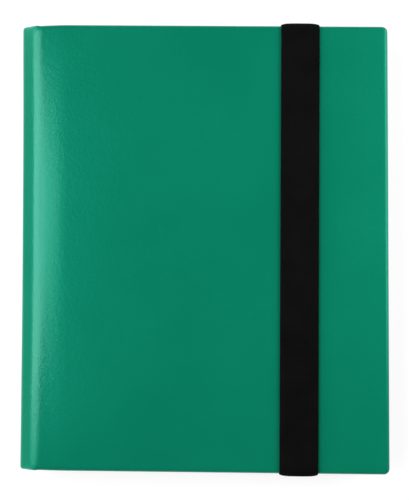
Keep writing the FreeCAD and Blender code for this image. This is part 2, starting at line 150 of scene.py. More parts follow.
def startMaterial(name, **sockets):
    material, tree = cleared(bpy.data.materials.new(name))
    inputs = {label.replace("_", " "): value for label, value in sockets.items()}
    shader = put(tree, "ShaderNodeBsdfPrincipled", inputs)
    put(tree, "ShaderNodeOutputMaterial", {"Surface": shader.outputs[0]})
    place = put(tree, "ShaderNodeTexCoord").outputs["Object"]
    return material, tree, shader, place


def grey(level):
    return (level, level, level)


def feed(tree, shader, **sockets):
    for name, value in sockets.items():
        tree.links.new(value, shader.inputs[name.replace("_", " ")])


leatherLook = {
    "deep": (0.0015, 0.169, 0.0915),
    "light": (0.0024, 0.186, 0.1025),
    "rubbed": (0.0028, 0.22, 0.128),
    "cloud": 45 * mm,
    "cloudShare": 0.75,  # of the change in colour; the rest is the fine noise
    "fine": 1.2 * mm,
    "fineHigh": 0.6,  # share of the grain's rise
    "grain": 0.75 * mm,
    "grainHigh": 0.7,
    "grainRise": 0.035 * mm,
    "dimple": 1.9 * mm,
    "dimpleRise": 0.06 * mm,
    "roughness": (0.35, 0.385),
    "rubbedPolish": 0.04,  # off the roughness where it is rubbed
    "coat": 0.27,  # worn away over the spine's edge
}


def leatheretteMaterial(look):
    material, tree, shader, place = startMaterial(
        "greenLeatherette", Specular_IOR_Level=0.73, Specular_Tint=(0.01, 1.0, 0.72, 1.0),
        Coat_Roughness=0.18, Coat_IOR=1.5,
    )
    cloud = noise(tree, place, look["cloud"], detail=3.0)
    fine = noise(tree, place, look["fine"])
    mixed = summed(tree, (cloud, look["cloudShare"]), (fine, 1 - look["cloudShare"]))
    base = tinted(tree, ranged(tree, mixed, 0.0, 1.0), look["deep"], look["light"])
    rub = marked(tree, "rub")
    worn = calc(tree, "MULTIPLY", rub, ranged(tree, fine, 0.2, 1.0, reach=0.15))
    pebbles = put(
        tree, "ShaderNodeTexVoronoi",
        {"Vector": place, "Scale": 1 / look["grain"], "Smoothness": 0.6}, feature="SMOOTH_F1",
    ).outputs["Distance"]
    grain = summed(tree, (pebbles, -look["grainHigh"]), (fine, look["fineHigh"]))
    dimples = noise(tree, place, look["dimple"], detail=1.5)
    normal = bumped(tree, grain, look["grainRise"], bumped(tree, dimples, look["dimpleRise"]))
    matt = ranged(tree, cloud, *look["roughness"])
    feed(
        tree, shader, Base_Color=tinted(tree, worn, base, look["rubbed"]),
        Roughness=summed(tree, (matt, 1.0), (rub, -look["rubbedPolish"])), Normal=normal,
        Coat_Weight=calc(tree, "MULTIPLY", marked(tree, "gloss"), look["coat"]), Coat_Normal=normal,
    )
    return material


elasticLook = {
    "thread": grey(0.0015),
    "worn": grey(0.0034),
    "pick": 0.9 * mm,  # from one cross thread to the next
    "pickHigh": 0.35,  # share of the weave's rise
    "ribs": 14,
    "fuzz": 0.5 * mm,
    "drift": 14 * mm,
    "weaveRise": 0.05 * mm,
    "roughness": (0.62, 0.82),
}


def elasticMaterial(look):
    material, tree, shader, place = startMaterial(
        "blackElastic", Specular_IOR_Level=0.045, Sheen_Weight=0.01, Sheen_Roughness=0.5
    )
    column = calc(tree, "FLOOR", calc(tree, "MULTIPLY", marked(tree, "across"), look["ribs"]))
    shifted = summed(tree, (marked(tree, "along"), 1 / look["pick"]), (column, 0.5))
    picks = calc(tree, "SINE", calc(tree, "MULTIPLY", shifted, 2 * math.pi))
    fuzz = noise(tree, place, look["fuzz"], detail=3.0)
    drift = noise(tree, place, look["drift"])
    shade = ranged(tree, summed(tree, (fuzz, 0.5), (drift, 0.5)), 0.0, 1.0, reach=0.15)
    height = summed(tree, (picks, look["pickHigh"]), (fuzz, 1.0))
    feed(
        tree, shader, Base_Color=tinted(tree, shade, look["thread"], look["worn"]),
        Roughness=ranged(tree, fuzz, *look["roughness"]), Normal=bumped(tree, height, look["weaveRise"]),
    )
    return material


# paper, board and foam share one recipe: a mottled colour, fibres and a matt roughness
paperGrain = {"stretch": (1.0, 0.35, 1.0), "mottle": 25 * mm, "mottleShare": 0.4, "roughness": (0.7, 0.9)}
paperLooks = {  # light and dark, then the fibres' width and rise
    "greyBoard": ((0.36, 0.34, 0.3), (0.27, 0.25, 0.22), 0.6 * mm, 0.04 * mm),
    "endpaper": (grey(0.016), grey(0.009), 0.5 * mm, 0.02 * mm),
    "stubCard": (grey(0.02), grey(0.01), 0.4 * mm, 0.03 * mm),
    "blackCard": (grey(0.016), grey(0.009), 0.4 * mm, 0.02 * mm),
    "foamPadding": ((0.78, 0.77, 0.73), (0.66, 0.65, 0.6), 0.9 * mm, 0.1 * mm),
}


def paperMaterial(name, light, dark, cell, rise):
    material, tree, shader, place = startMaterial(name, Specular_IOR_Level=0.3)
    stretched = out(tree, "ShaderNodeMapping", {"Vector": place, "Scale": paperGrain["stretch"]})
    fibre = noise(tree, stretched, cell, detail=4.0)
    mottle = noise(tree, place, paperGrain["mottle"], detail=3.0)
    mixed = summed(tree, (fibre, 1 - paperGrain["mottleShare"]), (mottle, paperGrain["mottleShare"]))
    feed(
        tree, shader, Base_Color=tinted(tree, ranged(tree, mixed, 0.0, 1.0), dark, light),
        Roughness=ranged(tree, fibre, *paperGrain["roughness"]), Normal=bumped(tree, fibre, rise),
    )
    return material


# woven cloth: two crossing threads in the piece's own plane, thick and thin by turns
weave = {"slub": 5, "tintShare": 0.2, "highShare": 0.5, "rise": 0.06 * mm, "roughness": (0.75, 0.95)}
clothLooks = {  # light and dark, then the thread's width and the plane
    "linen": ((0.034, 0.034, 0.033), grey(0.012), 0.55 * mm, "XY"),
    "spineCloth": ((0.66, 0.64, 0.58), (0.46, 0.44, 0.39), 0.8 * mm, "YZ"),
    "bandThread": (grey(0.036), grey(0.01), 0.4 * mm, "YZ"),
}


def clothMaterial(name, light, dark, thread, plane):
    material, tree, shader, place = startMaterial(name, Specular_IOR_Level=0.15, Sheen_Weight=0.05)
    split = put(tree, "ShaderNodeSeparateXYZ", {0: place}).outputs
    waves = []
    for axis in plane:
        turns = calc(tree, "MULTIPLY", split[axis], 2 * math.pi / thread)
        waves.append(calc(tree, "SINE", turns))
    crossing = calc(tree, "MULTIPLY", *waves)
    slub = noise(tree, place, thread * weave["slub"], detail=3.0)
    share = ranged(tree, summed(tree, (crossing, weave["tintShare"]), (slub, 1.0)), 0.0, 1.0, reach=0.25)
    height = summed(tree, (crossing, weave["highShare"]), (slub, 1.0))
    feed(
        tree, shader, Base_Color=tinted(tree, share, dark, light),
        Roughness=ranged(tree, slub, *weave["roughness"]), Normal=bumped(tree, height, weave["rise"]),
    )
    return material


filmLook = {
    "tint": (0.93, 0.95, 0.96),
    "scuffed": (0.82, 0.84, 0.86),
    "scuff": 1.2 * mm,
    "paleFrom": 0.45,  # of the scuffs' noise
    "dullFrom": 0.35,
    "scuffFull": 0.75,
    "roughness": (0.05, 0.16),
    "ripple": 30 * mm,
    "rippleRise": 0.12 * mm,
}


def filmMaterial(look):
    material, tree, shader, place = startMaterial("clearFilm", IOR=1.46, Transmission_Weight=0.92)
    scuff = noise(tree, place, look["scuff"], detail=4.0)
    pale = remap(tree, scuff, look["paleFrom"], look["scuffFull"], 0.0, 1.0)
    ripple = noise(tree, place, look["ripple"], detail=1.0)
    feed(
        tree, shader, Base_Color=tinted(tree, pale, look["tint"], look["scuffed"]),
        Roughness=remap(tree, scuff, look["dullFrom"], look["scuffFull"], *look["roughness"]),
        Normal=bumped(tree, ripple, look["rippleRise"]),
    )
    return material


glassineLook = {
    "pale": (0.82, 0.81, 0.76),
    "dull": (0.7, 0.69, 0.63),
    "fibre": 3 * mm,
    "roughness": (0.38, 0.52),
    "cockle": 35 * mm,
    "cockleRise": 0.4 * mm,
}


def glassineMaterial(look):
    material, tree, shader, place = startMaterial(
        "glassine", Specular_IOR_Level=0.4, Transmission_Weight=0.35, IOR=1.2
    )
    fibre = noise(tree, place, look["fibre"], detail=5.0)
    cockle = noise(tree, place, look["cockle"])
    colour = tinted(tree, ranged(tree, fibre, 0.0, 1.0), look["dull"], look["pale"])
    feed(
        tree, shader, Base_Color=colour, Roughness=ranged(tree, fibre, *look["roughness"]),
        Normal=bumped(tree, cockle, look["cockleRise"]),
    )
    return material


leatherette = leatheretteMaterial(leatherLook)
elastic = elasticMaterial(elasticLook)
papers = {name: paperMaterial(name, *look) for name, look in paperLooks.items()}
cloths = {name: clothMaterial(name, *look) for name, look in clothLooks.items()}
clearFilm = filmMaterial(filmLook)
glassine = glassineMaterial(glassineLook)
print("materials:", len(bpy.data.materials))


# mesh helpers
meshCare = {
    "slack": 1e-6,  # share of a step that rounding may add
    "places": 7,  # decimals that tell two grid lines apart
    "weld": 0.001 * mm,
    "sharp": 38,  # degrees: edges that bend by more stay sharp
    "bandSharp": 60,
}


def evenly(first, last, step):
    count = math.ceil((last - first) / step - meshCare["slack"])
    return np.linspace(first, last, max(1, count) + 1)


def merged(*lines):
    return np.unique(np.concatenate(lines))


def gridLines(*runs):
    return merged(*(np.round(evenly(*run), meshCare["places"]) for run in runs))


def middles(lines):
    return (lines[:-1] + lines[1:]) / 2


def eased(share):
    share = np.clip(share, 0, 1)
    return share * share * (3 - 2 * share)


def mark(mesh, label, numbers):
    layer = mesh.attributes.new(label, "FLOAT", "POINT")
    layer.data.foreach_set("value", numbers.astype(np.float32))


def linked(name, data):
    thing = bpy.data.objects.new(name, data)
    bpy.context.scene.collection.objects.link(thing)
    return thing


def meshPiece(name, points, faces, material, values=None):
    mesh = bpy.data.meshes.new(name)
    mesh.from_pydata([tuple(p) for p in points], [], faces)
    for label, numbers in (values or {}).items():
        mark(mesh, label, numbers)
    mesh.materials.append(material)
    tidy = bmesh.new()
    tidy.from_mesh(mesh)
    bmesh.ops.remove_doubles(tidy, verts=tidy.verts, dist=meshCare["weld"])
    bmesh.ops.delete(tidy, geom=[v for v in tidy.verts if not v.link_faces], context="VERTS")
    tidy.to_mesh(mesh)
    tidy.free()
    return linked(name, mesh)


def frozen(piece, sharpAngle=meshCare["sharp"]):
    graph = bpy.context.evaluated_depsgraph_get()
    mesh = bpy.data.meshes.new_from_object(
        piece.evaluated_get(graph), preserve_all_data_layers=True, depsgraph=graph
    )
    piece.modifiers.clear()
    piece.data = mesh
    mesh.shade_smooth()
    mesh.set_sharp_from_angle(angle=math.radians(sharpAngle))
    return piece


def closedGrid(aLines, bLines, upper, lower, keep=None):
    # a closed pad over the kept cells of a grid, between two heights
    a, b = np.meshgrid(aLines, bLines, indexing="ij")
    rows, columns = a.shape
    if keep is None:
        keep = np.ones((rows - 1, columns - 1), bool)
    count = rows * columns
    index = np.arange(count).reshape(rows, columns)
    points = [np.stack([a, b, height(a, b)], -1).reshape(-1, 3) for height in (upper, lower)]
    kept = np.pad(keep, 1)
    faces = []
    for i, j in np.argwhere(keep):
        corners = [int(index[p]) for p in ((i, j), (i + 1, j), (i + 1, j + 1), (i, j + 1))]
        faces.append(tuple(corners))
        faces.append(tuple(c + count for c in reversed(corners)))
        beyond = (kept[i + 1, j], kept[i + 2, j + 1], kept[i + 1, j + 2], kept[i, j + 1])
        for k, filled in enumerate(beyond):
            if not filled:
                first, second = corners[k], corners[(k + 1) % 4]
                faces.append((second, first, first + count, second + count))
    return np.concatenate(points), faces


# the leatherette's line over the spine: up the wall, round the edge, along a slope with
# nothing under it and over a belly onto the board
shoulder = {
    "topX": foldX + 1.45 * mm,  # the flat front begins here
    "topRound": 9 * mm,
    "bellyTilt": math.radians(20),
    "bellyRound": 20 * mm,
    "slope": math.radians(36),
    "edgeRound": 4 * mm,
    "skew": 0.0087,  # the cover is a little out of square
}
topX, topRound, bellyTilt, bellyRound, slope, edgeRound, skew = shoulder.values()
upright = math.pi / 2
slopeWide = topX - spineLow.x - topRound * math.sin(bellyTilt) - edgeRound * (1 - math.sin(slope))
slopeWide -= bellyRound * (math.sin(slope) - math.sin(bellyTilt))
slopeLong = slopeWide / math.cos(slope)
wallLong = topZ - midZ - topRound * (1 - math.cos(bellyTilt)) - edgeRound * math.cos(slope)
wallLong -= bellyRound * (math.cos(bellyTilt) - math.cos(slope)) + slopeLong * math.sin(slope)
bends = [  # length, then the tilt at both ends
    (wallLong, upright, upright),
    (edgeRound * (upright - slope), upright, slope),
    (slopeLong, slope, slope),
    (bellyRound * (slope - bellyTilt), slope, bellyTilt),
    (topRound * bellyTilt, bellyTilt, 0.0),
    (2 * foreX, 0.0, 0.0),
]
slopeStart, slopeEnd, topStart = (sum(bend[0] for bend in bends[:k]) for k in (2, 3, 5))
boardStart = topStart - topRound * math.asin((topX - foldX) / topRound)
coverEnd = topStart + foreX - topX


def onCover(points, side):
    # u along the cover from mid-spine, v foot to head and the depth inwards become x, y and z
    u, v, depth = points.T
    x, z = np.full_like(u, spineLow.x), np.minimum(u, 0) + midZ
    lean, rest = np.full_like(u, upright), u
    for length, first, last in bends:
        here = np.clip(rest, 0, length)
        tilt = first + (last - first) * here / length
        if first == last:
            x, z = x + here * math.cos(first), z + here * math.sin(first)
        else:
            radius = length / (first - last)
            x += radius * (math.sin(first) - np.sin(tilt))
            z += radius * (np.cos(tilt) - math.cos(first))
        lean = np.where(rest > 0, tilt, lean)
        rest = rest - here
    x += depth * np.sin(lean)
    z -= depth * np.cos(lean)
    if side == "back":
        z = 2 * midZ - z
    return np.stack([x, v - skew * x, z], axis=1)


def sided(faces, side):
    return [tuple(reversed(face)) for face in faces] if side == "back" else faces


# the padded front: a cloth sheet held round its edges and under the strap, and blown up a little
padding = {
    "cell": 4 * mm,
    "heldEdge": 5 * mm,
    "quality": 6,
    "mass": 0.3,
    "stiffness": 40,
    "bending": 2,
    "pressure": 4.0,
    "frames": 20,
    "crown": 0.32 * mm,  # the most that the foam lifts the leatherette
    "crownEase": 2.0,  # how gently it nears that
}


def blownSheet(look):
    xs, ys = evenly(topX, foreX, look["cell"]), evenly(-halfY, halfY, look["cell"])
    x, y = np.meshgrid(xs, ys, indexing="ij")
    index = np.arange(x.size).reshape(x.shape)
    quads = np.stack([index[:-1, :-1], index[1:, :-1], index[1:, 1:], index[:-1, 1:]], -1)
    points = np.stack([x, y, np.full_like(x, topZ)], -1)
    sheet = meshPiece("blownSheet", points.reshape(-1, 3), quads.reshape(-1, 4).tolist(), leatherette)
    edge = np.minimum(np.minimum(x - topX, foreX - x), halfY - np.abs(y)) < look["heldEdge"]
    underStrap = np.abs(x - strapMid) < strapWide / 2 - look["cell"] / 2
    held = sheet.vertex_groups.new(name="held")
    held.add(index[edge | underStrap].tolist(), 1.0, "REPLACE")
    cloth = sheet.modifiers.new("padding", "CLOTH")
    cloth.settings.quality = look["quality"]
    cloth.settings.mass = look["mass"]
    cloth.settings.tension_stiffness = look["stiffness"]
    cloth.settings.compression_stiffness = look["stiffness"]
    cloth.settings.bending_stiffness = look["bending"]
    cloth.settings.vertex_group_mass = "held"
    cloth.settings.use_pressure = True
    cloth.settings.uniform_pressure_force = look["pressure"]
    cloth.settings.effector_weights.gravity = 0
    cloth.collision_settings.use_collision = False
    cloth.point_cache.frame_end = look["frames"]
    for step in range(1, look["frames"] + 1):
        bpy.context.scene.frame_set(step)
    blown = sheet.evaluated_get(bpy.context.evaluated_depsgraph_get()).data
    rise = np.array([v.co.z for v in blown.vertices]).reshape(x.shape) - topZ
    bpy.data.objects.remove(sheet)
    bpy.context.scene.frame_set(1)
    print("padding: the sheet rose", round(float(rise.max()) / mm, 2), "mm before its cap")
    lift = np.maximum(rise, 0) / look["crown"] / look["crownEase"]
    return xs, ys, look["crown"] * np.tanh(lift)


sheetX, sheetY, sheetRise = blownSheet(padding)


def splineShares(f):
    # what the four nearest lines of the sheet count for, so that its rise has no facets
    inner = [(3 * t - 6) * t * t / 6 + 2 / 3 for t in (f, 1 - f)]
    return (1 - f) ** 3 / 6, *inner, f ** 3 / 6


def crownAt(u, v):
    x = np.clip(u - topStart + topX, sheetX[0], sheetX[-1])
    column = (x - sheetX[0]) / (sheetX[1] - sheetX[0])
    row = (np.clip(v, sheetY[0], sheetY[-1]) - sheetY[0]) / (sheetY[1] - sheetY[0])
    i = np.minimum(column.astype(int), len(sheetX) - 2)
    j = np.minimum(row.astype(int), len(sheetY) - 2)
    rise = np.zeros_like(x)
    for p, across in enumerate(splineShares(column - i), -1):
        for q, along in enumerate(splineShares(row - j), -1):
            near = np.clip(i + p, 0, len(sheetX) - 1), np.clip(j + q, 0, len(sheetY) - 1)
            rise += across * along * sheetRise[near]
    return rise * eased((u - topStart) / padding["heldEdge"])


# between its ends the front sinks towards the spine, and the spine is hollow
sink = {
    "board": 1.03 * mm,  # at the board's edge
    "reach": 13 * mm,
    "boardMiddle": 25 * mm,
    "boardToHead": 95 * mm,
    "boardToFoot": 127 * mm,
    "boardPower": 1.35,
    "foldLong": 5.5 * mm,
    "slope": 0.82 * mm,
    "wall": 0.25 * mm,
    "middle": 18.5 * mm,
    "toHead": 78 * mm,
    "toFoot": 86.5 * mm,
    "power": 2.5,
    "ends": 0.45,  # past these lengths the fold stands out by this share
}


def bowed(away, toHead, toFoot, power):
    return 1 - np.abs(away / np.where(away > 0, toHead, toFoot)) ** power


def hollowAt(v):
    full = bowed(v - sink["middle"], sink["toHead"], sink["toFoot"], sink["power"])
    return np.where(full > 0, full, full * sink["ends"])


def boardSink(v):
    away = v - sink["boardMiddle"]
    full = bowed(away, sink["boardToHead"], sink["boardToFoot"], sink["boardPower"])
    return sink["board"] * np.maximum(full, 0)


def upWall(u):
    return eased((u - wallLong) / (slopeStart - wallLong))


def sinkAt(u, v):
    hollow = hollowAt(v)
    board = boardSink(v)
    past = np.clip((u - topStart) / sink["reach"], 0, 1)
    back = np.clip((topStart - u) / sink["foldLong"], 0, 1)
    steep = 2 * board * sink["foldLong"] / sink["reach"]
    fold = (board * (1 + 2 * back) + steep * back) * (1 - back) ** 2
    fold += hollow * sink["slope"] * eased(back)
    spine = hollow * (sink["wall"] + (sink["slope"] - sink["wall"]) * upWall(u))
    return np.where(u > topStart, board * (1 - past) ** 2, np.where(back < 1, fold, spine))


sinkEnd = topStart + sink["reach"]


def frontDepth(u, v):
    return sinkAt(u, v) - crownAt(u, v)


# the back lies flat, with a shallow recess and a slot for each end of the strap
recess = {
    "room": 1.5 * mm,  # for the strap's thickness
    "sideGap": 0.2 * mm,
    "start": 96.4 * mm,
    "wall": 0.6 * mm,
    "slotGap": 0.1 * mm,
    "slotWide": 1.6 * mm,
}
recessDeep = tailLow.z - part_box("back_cover_skin")[0].z + recess["room"]
recessHalf = strapWide / 2 + recess["sideGap"]
recessEdge = recessHalf + recess["wall"]


def backDepth(u, v):
    x = u - topStart + topX
    across = eased((recessEdge - np.abs(x - strapMid)) / recess["wall"])
    lengthwise = eased((np.abs(v) - recess["start"] + recess["wall"]) / recess["wall"])
    return recessDeep * across * lengthwise + hollowAt(v) * sink["wall"] * (1 - upWall(u))


wrap = {
    "inset": 3.0 * mm,  # the flat face stops this far in: the outline's corner radius
    "fanSteps": 8,
    "edgeRadius": 1.9 * mm,
    "edgeMost": 0.42,  # of the depth, where that is thin
    "edgeSteps": 6,
    "edgeWear": 0.15,  # where the face meets the round
    "rimRadius": 0.8 * mm,
    "rimMost": 0.4,
    "rimSteps": 4,
    "rimWear": 0.3,
    "turnIn": 12.0 * mm,
    "turnInRows": (0.3, 0.65, 1.0),
    "spineTurnIn": 4.0 * mm,  # cut short at the spine, clear of the binding
    "cutAway": 2.0 * mm,
    "foldDeep": 1.45 * mm,  # two layers of leatherette where there is no board
    "ease": 2.0 * mm,
    "thick": 0.66 * mm,
    "headTuck": 0.65 * mm,  # the turn-in draws the spine's two ends in
    "footTuck": 0.3 * mm,
    "spineCorner": 1.5 * mm,
    "dull": 0.55,  # the flat faces shine less than the folds by this share
    "dullFrom": topStart - 3.0 * mm,
    "dullLong": 7 * mm,
}


def caseDepth(u):
    atSpine = eased((spineHigh.z - midZ - u) / wrap["ease"] + 0.5)
    atPanel = eased((u - boardStart) / wrap["ease"] + 1)
    foldDeep = wrap["foldDeep"]
    return foldDeep + (spineDeep - foldDeep) * atSpine + (panelDeep - foldDeep) * atPanel


def edgeProfile(u):
    # how far out and how deep the leatherette lies as it goes over an edge and in again
    inset, deep = wrap["inset"], caseDepth(u)
    outer = np.minimum(wrap["edgeRadius"], wrap["edgeMost"] * deep)
    inner = np.minimum(wrap["rimRadius"], wrap["rimMost"] * deep)
    steps = [(inset - outer, 0 * u, wrap["edgeWear"])]
    for angle in np.linspace(0, upright, wrap["edgeSteps"] + 1)[1:]:
        reach, depth = inset - outer * (1 - np.sin(angle)), outer * (1 - np.cos(angle))
        steps.append((reach, depth, math.sin(2 * angle)))
    steps.append((inset + 0 * u, (outer + deep - inner) / 2, 0.0))
    for angle in np.linspace(0, upright, wrap["rimSteps"] + 1):
        reach, depth = inset - inner * (1 - np.cos(angle)), deep - inner * (1 - np.sin(angle))
        steps.append((reach, depth, wrap["rimWear"]))
    spare = wrap["turnIn"] - wrap["spineTurnIn"]
    turnIn = wrap["spineTurnIn"] + spare * eased((u - boardStart) / wrap["cutAway"] + 1)
    for share in wrap["turnInRows"]:
        steps.append((inset - turnIn * share - inner * (1 - share), deep, 0.0))
    return steps, deep


def tuckAt(u, v):
    beside = onCover(np.stack([u, 0 * u, 0 * u], axis=1), "front")[:, 0] - spineLow.x
    corner = wrap["spineCorner"]
    short = corner - np.minimum(beside, corner)
    cut = corner - np.sqrt(corner ** 2 - short ** 2)
    tuck = np.where(v > 0, wrap["headTuck"], wrap["footTuck"])
    return cut + tuck * eased((sinkEnd - u) / (sinkEnd - slopeEnd))


def glossAt(u):
    polish = 1 - wrap["dull"] * eased((u - wrap["dullFrom"]) / wrap["dullLong"])
    return polish * eased((u - slopeStart) / (slopeEnd - slopeStart) / 2)


def coverWrap(name, side, uLines, vLines, depthAt, holeAt=None):
    inset = wrap["inset"]
    u, v = np.meshgrid(uLines, vLines, indexing="ij")
    rows, columns = u.shape
    index = np.arange(u.size).reshape(u.shape)
    points = [np.stack([u, v, depthAt(u, v)], -1).reshape(-1, 3)]
    cellU, cellV = middles(uLines), middles(vLines)
    faces = []
    for i in range(rows - 1):
        for j in range(columns - 1):
            if holeAt is None or not holeAt(cellU[i], cellV[j]):
                faces.append((index[i, j], index[i + 1, j], index[i + 1, j + 1], index[i, j + 1]))
    # round the border from the foot of the spine, with a fan of directions at each corner
    fan = np.linspace(0, upright, wrap["fanSteps"] + 1)
    border = [(index[i, 0], 0.0, -1.0) for i in range(rows - 1)]
    border += [(index[-1, 0], math.sin(t), -math.cos(t)) for t in fan]
    border += [(index[-1, j], 1.0, 0.0) for j in range(1, columns - 1)]
    border += [(index[-1, -1], math.cos(t), math.sin(t)) for t in fan]
    border += [(index[i, -1], 0.0, 1.0) for i in reversed(range(rows - 1))]
    start = np.array([b[0] for b in border])
    outwards = np.array([b[1:] for b in border])
    baseU, baseV, baseDepth = points[0][start].T
    steps, deep = edgeProfile(baseU)
    rub = [np.zeros(u.size)]
    fade = eased((baseU - boardStart) / wrap["ease"] + 1)
    ring = start
    for reach, depth, wear in steps:
        spare = np.maximum(reach, 0)
        ringU = baseU + outwards[:, 0] * spare
        ringV = baseV + outwards[:, 1] * spare
        far = np.maximum(-reach, 0)  # past the mitre, inside the cover
        limitU, limitV = coverEnd - inset - far, halfY - inset - far
        ringU = np.where(far > 0, np.minimum(ringU, limitU), ringU)
        ringV = np.where(far > 0, np.clip(ringV, -limitV, limitV), ringV)
        ringDepth = depth + baseDepth * (1 - fade * depth / deep)
        points.append(np.stack([ringU, ringV, ringDepth], -1))
        rub.append(np.full(len(border), wear))
        following = np.arange(len(border)) + sum(len(p) for p in points[:-1])
        for k in range(len(border) - 1):
            quad = (ring[k], following[k], following[k + 1], ring[k + 1])
            faces.append(tuple(dict.fromkeys(int(q) for q in quad)))
        ring = following
    spread = np.concatenate(points)
    gloss = glossAt(spread[:, 0])
    spread[:, 1] *= 1 - tuckAt(*spread[:, :2].T) / halfY
    values = {"rub": np.concatenate(rub), "gloss": gloss}
    piece = meshPiece(name, onCover(spread, side), sided(faces, side), leatherette, values)
    shell = piece.modifiers.new("thickness", "SOLIDIFY")
    shell.thickness = wrap["thick"]
    shell.offset = -1
    return frozen(piece)


def uOf(x):
    return x - topX + topStart


cells = {  # how finely each stretch of a wrap is divided
    "wall": 1.0 * mm,
    "edge": 0.35 * mm,
    "slope": 0.8 * mm,
    "belly": 0.5 * mm,
    "sunk": 1.0 * mm,
    "face": 3.0 * mm,
    "plain": 4.0 * mm,
    "recess": 0.2 * mm,
}
faceEndU, faceEndV = coverEnd - wrap["inset"], halfY - wrap["inset"]
bendLines = (
    (0, wallLong, cells["wall"]), (wallLong, slopeStart, cells["edge"]),
    (slopeStart, slopeEnd, cells["slope"]), (slopeEnd, topStart, cells["belly"]),
)
sunkLines = (topStart, sinkEnd, cells["sunk"])
frontLinesU = gridLines(*bendLines, sunkLines, (sinkEnd, faceEndU, cells["face"]))
frontLinesV = gridLines((-faceEndV, faceEndV, cells["face"]))
frontWrap = coverWrap("frontWrap", "front", frontLinesU, frontLinesV, frontDepth)

recessU = [uOf(strapMid + side) for side in (-recessEdge, -recessHalf, recessHalf, recessEdge)]
backLinesU = gridLines(
    *bendLines, (topStart, recessU[0], cells["plain"]), (*recessU[0:2], cells["recess"]),
    (*recessU[1:3], cells["face"]), (*recessU[2:4], cells["recess"]),
    (recessU[3], faceEndU, cells["plain"]),
)
slotFrom = recess["start"] + recess["slotGap"]
slotEnd = slotFrom + recess["slotWide"]
wallFrom = recess["start"] - recess["wall"]
halfV = gridLines(
    (0, wallFrom, cells["plain"]), (wallFrom, recess["start"], cells["recess"]),
    (slotFrom, slotEnd, recess["slotWide"]), (slotEnd, faceEndV, cells["face"]),
)
backLinesV = merged(-halfV, halfV)


def inSlot(u, v):
    return abs(u - uOf(strapMid)) < recessHalf and slotFrom < abs(v) < slotEnd


backWrap = coverWrap("backWrap", "back", backLinesU, backLinesV, backDepth, inSlot)
print("wraps:", len(frontWrap.data.polygons), "and", len(backWrap.data.polygons), "faces")


# foam under the leatherette, held to the board
foam = {
    "inset": 0.9 * mm,
    "step": 4 * mm,
    "skin": 0.68 * mm,  # the leatherette's thickness, and a hair
    "round": 2.5 * mm,
    "roundSteps": 6,
    "foldSteps": 4,
    "drop": 0.7 * mm,
    "strapGap": 1.0 * mm,
}
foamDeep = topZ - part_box("front_padding")[0].z


def foamPad(name, side, depthAt, aroundStrap):
    lastU, lastV = coverEnd - foam["inset"], halfY - foam["inset"]
    soft = foam["round"]
    fine = soft / foam["roundSteps"]
    u = gridLines(
        (topStart, topStart + soft, soft / foam["foldSteps"]),
        (topStart + soft, lastU - soft, foam["step"]), (lastU - soft, lastU, fine),
    )
    v = gridLines(
        (-lastV, soft - lastV, fine),
        (soft - lastV, lastV - soft, foam["step"]), (lastV - soft, lastV, fine),
    )
    keep = None
    if aroundStrap:
        window, windowFrom = recessHalf + foam["strapGap"], recess["start"] - foam["strapGap"]
        u = merged(u, [uOf(strapMid - window), uOf(strapMid + window)])
        v = merged(v, [-windowFrom, windowFrom])
        inWindow = np.abs(middles(u) - uOf(strapMid)) < window
        keep = ~(inWindow[:, None] & (np.abs(middles(v)) > windowFrom)[None, :])

    def outer(a, b):
        edge = np.minimum(lastU - a, lastV - np.abs(b))
        inwards = 1 - np.clip(edge / soft, 0, 1)
        rolled = foam["drop"] * (1 - np.sqrt(1 - inwards ** 2))
        return foam["skin"] + depthAt(a, b) + rolled

    points, faces = closedGrid(u, v, outer, lambda a, b: np.full_like(a, foamDeep), keep)
    pad = meshPiece(name, onCover(points, side), sided(faces, side), papers["foamPadding"])
    return frozen(pad)


frontFoam = foamPad("frontFoam", "front", frontDepth, False)
backFoam = foamPad("backFoam", "back", lambda u, v: 0 * u, True)
print("foam:", len(frontFoam.data.polygons), "and", len(backFoam.data.polygons), "faces")


# the grey boards follow the wraps, a little out of square; the back one has a bed and a slot
# for each end of the strap
boards = {
    "shy": 0.6 * mm,  # clear of the drawn-in ends
    "corner": 2.2 * mm,
    "cornerSteps": 8,
    "step": 6 * mm,
    "bedDeep": 1.4 * mm,
    "bedWall": 0.05 * mm,
    "bedGap": 0.2 * mm,  # past the end of the strap's tail
    "slotGap": 0.1 * mm,
}


def coverBoard(name, node, withBeds):
    low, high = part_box(node)
    lastY, corner, wall = high.y - boards["shy"], boards["corner"], boards["bedWall"]
    cornerStep = corner / boards["cornerSteps"]
    x = gridLines((low.x, high.x - corner, boards["step"]), (high.x - corner, high.x, cornerStep))
    y = gridLines((-lastY, lastY, boards["step"]))
    bedHalf, bedFrom, bedTo = recessHalf, tailLow.y - boards["bedGap"], recess["start"]
    slotTo = slotEnd + boards["slotGap"]
    keep = None
    if withBeds:
        sides = np.array([bedHalf, bedHalf + wall])
        ends = np.array([bedFrom - wall, bedFrom, bedTo, slotTo])
        x = merged(x, strapMid - sides, strapMid + sides)
        y = merged(y, -ends, ends)
        inWidth = np.abs(middles(x) - strapMid) < bedHalf
        middleY = np.abs(middles(y))
        keep = ~(inWidth[:, None] & ((middleY > bedTo) & (middleY < slotTo))[None, :])

    def inner(a, b):
        lengthwise = (np.abs(b) > bedFrom - wall / 2) & (np.abs(b) < bedTo + wall / 2)
        inBed = withBeds & lengthwise & (np.abs(a - strapMid) < bedHalf + wall / 2)
        return high.z - boards["bedDeep"] * inBed

    points, faces = closedGrid(x, y, inner, lambda a, b: np.full_like(a, low.z), keep)
    past = np.clip(points[:, 0] - high.x + corner, 0, corner)
    points[:, 1] *= 1 - (corner - np.sqrt(corner ** 2 - past ** 2)) / lastY
    points[:, 1] -= skew * points[:, 0]
    return frozen(meshPiece(name, points, faces, papers["greyBoard"]))


